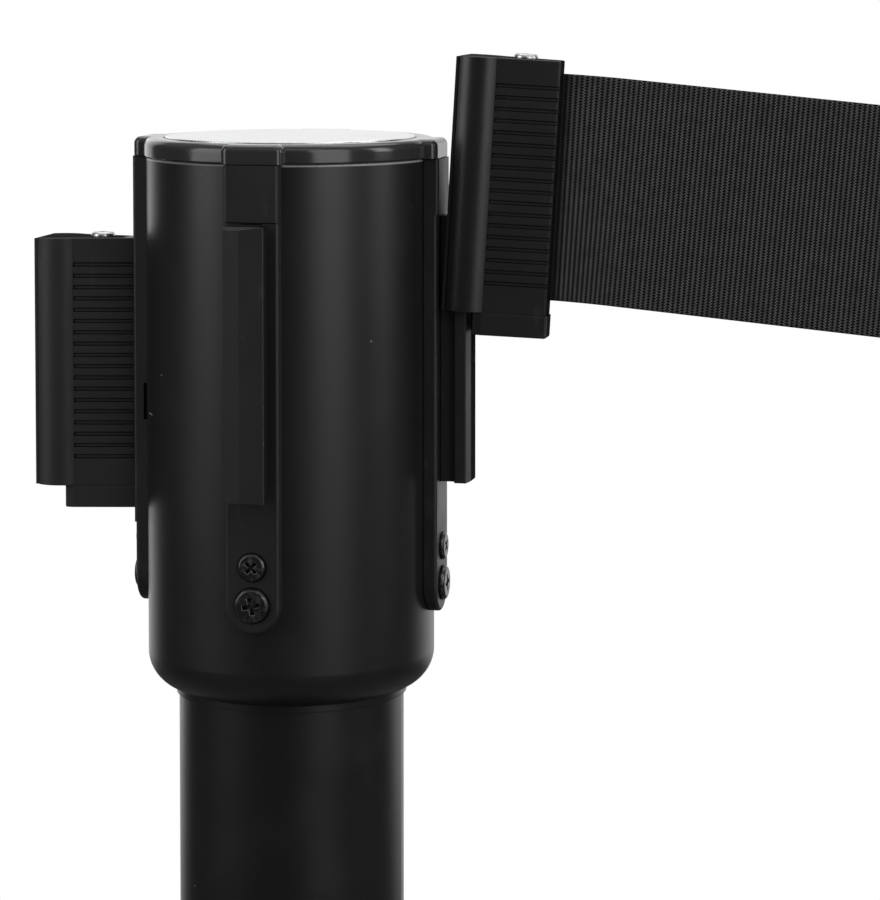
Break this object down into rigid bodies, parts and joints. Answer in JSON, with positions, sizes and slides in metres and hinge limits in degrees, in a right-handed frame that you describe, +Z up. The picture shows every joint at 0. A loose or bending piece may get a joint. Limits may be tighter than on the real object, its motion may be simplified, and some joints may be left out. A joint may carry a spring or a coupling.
{
  "type": "retractable belt stanchion",
  "caption": "Free-standing queue post with a weighted round base, a sprung belt cassette in its head, rails for other posts' belts and a neighbouring belt end part-way onto one rail.",
  "frame": {"origin": "floor level on the post's axis", "axes": "+Z up the post, -Y out of the front rail, -X out of the belt mouth, +X out of the rail that holds the neighbour's belt end"},
  "size_m": [0.32, 0.32, 0.9589],
  "materials": {
    "black_powder_coat": "semi-gloss powder coat",
    "gloss_black_plastic": "polished moulding",
    "matte_black_plastic": "fine spark-eroded texture",
    "silver_disc": "satin anodised",
    "black_screw_steel": "black zinc plated",
    "zinc_steel": "bright zinc plated",
    "cast_iron": "rough, dip painted",
    "floor_rubber": "matt moulded rubber",
    "bush_plastic": "natural acetal",
    "drum_plastic": "plain moulding",
    "spring_steel": "blued strip",
    "black_webbing": "woven polyester webbing"
  },
  "bodies": {
    "stand": {"floor_ring": "floor_rubber", "base_weight": "cast_iron", "base_cover": "black_powder_coat", "base_collar": "gloss_black_plastic", "base_washer": "zinc_steel", "lock_washer": "zinc_steel", "base_bolt": "zinc_steel", "post_plug_lower": "zinc_steel", "post_tube": "black_powder_coat", "post_plug_upper": "zinc_steel", "head_shell": "black_powder_coat", "cap": "gloss_black_plastic", "cap_disc": "silver_disc", "cap_screw": "zinc_steel", "belt_mouth": "matte_black_plastic", "dock_screws_upper": "black_screw_steel", "dock_screws_lower": "black_screw_steel", "nut_plates": "zinc_steel", "cassette_base": "zinc_steel", "cassette_top": "zinc_steel", "cassette_pillars": "zinc_steel", "cassette_screws": "zinc_steel", "belt_guides": "zinc_steel", "spindle": "zinc_steel", "spindle_clip": "spring_steel", "spindle_nut": "zinc_steel", "power_spring": "spring_steel", "receiver_front": "matte_black_plastic", "receiver_right": "matte_black_plastic", "receiver_back": "matte_black_plastic"},
    "drum": {"drum": "drum_plastic", "drum_bush_lower": "bush_plastic", "drum_bush_upper": "bush_plastic", "spring_cover": "drum_plastic", "belt_roll": "black_webbing"},
    "own_end": {"own_end_body": "matte_black_plastic", "own_end_base": "matte_black_plastic", "own_end_pin": "zinc_steel", "own_end_screw": "zinc_steel", "own_belt": "black_webbing"},
    "docked_belt": {"docked_belt": "black_webbing"},
    "docked_end": {"docked_end_body": "matte_black_plastic", "docked_end_base": "matte_black_plastic", "docked_end_pin": "zinc_steel", "docked_end_screw": "zinc_steel"}
  },
  "joints": [
    {"name": "belt_pull", "type": "slide", "parent": "stand", "child": "own_end", "axis": [-1, 0, 0], "range_m": [0, 2], "deforming": ["own_belt"]},
    {"name": "drum_spin", "type": "hinge", "parent": "stand", "child": "drum", "pos_m": [0, 0, 0.89], "axis": [0, 0, 1], "range_deg": [0, 7600], "deforming": ["power_spring"]},
    {"name": "dock_slide", "type": "slide", "parent": "stand", "child": "docked_belt", "axis": [0, 0, 1], "range_m": [-0.0325, 0.022], "deforming": ["docked_belt"]},
    {"name": "dock_tilt", "type": "hinge", "parent": "docked_belt", "child": "docked_end", "pos_m": [0.03515, 0, 0.90325], "axis": [0, 1, 0], "range_deg": [-3.45, 2.4], "deforming": ["docked_belt"]}
  ],
  "couplings": [
    {"joint": "drum_spin", "follows": "belt_pull", "rad_per_m": 66},
    {"joint": "dock_tilt", "follows": "dock_slide", "rad_per_m": 1.8259}
  ]
}
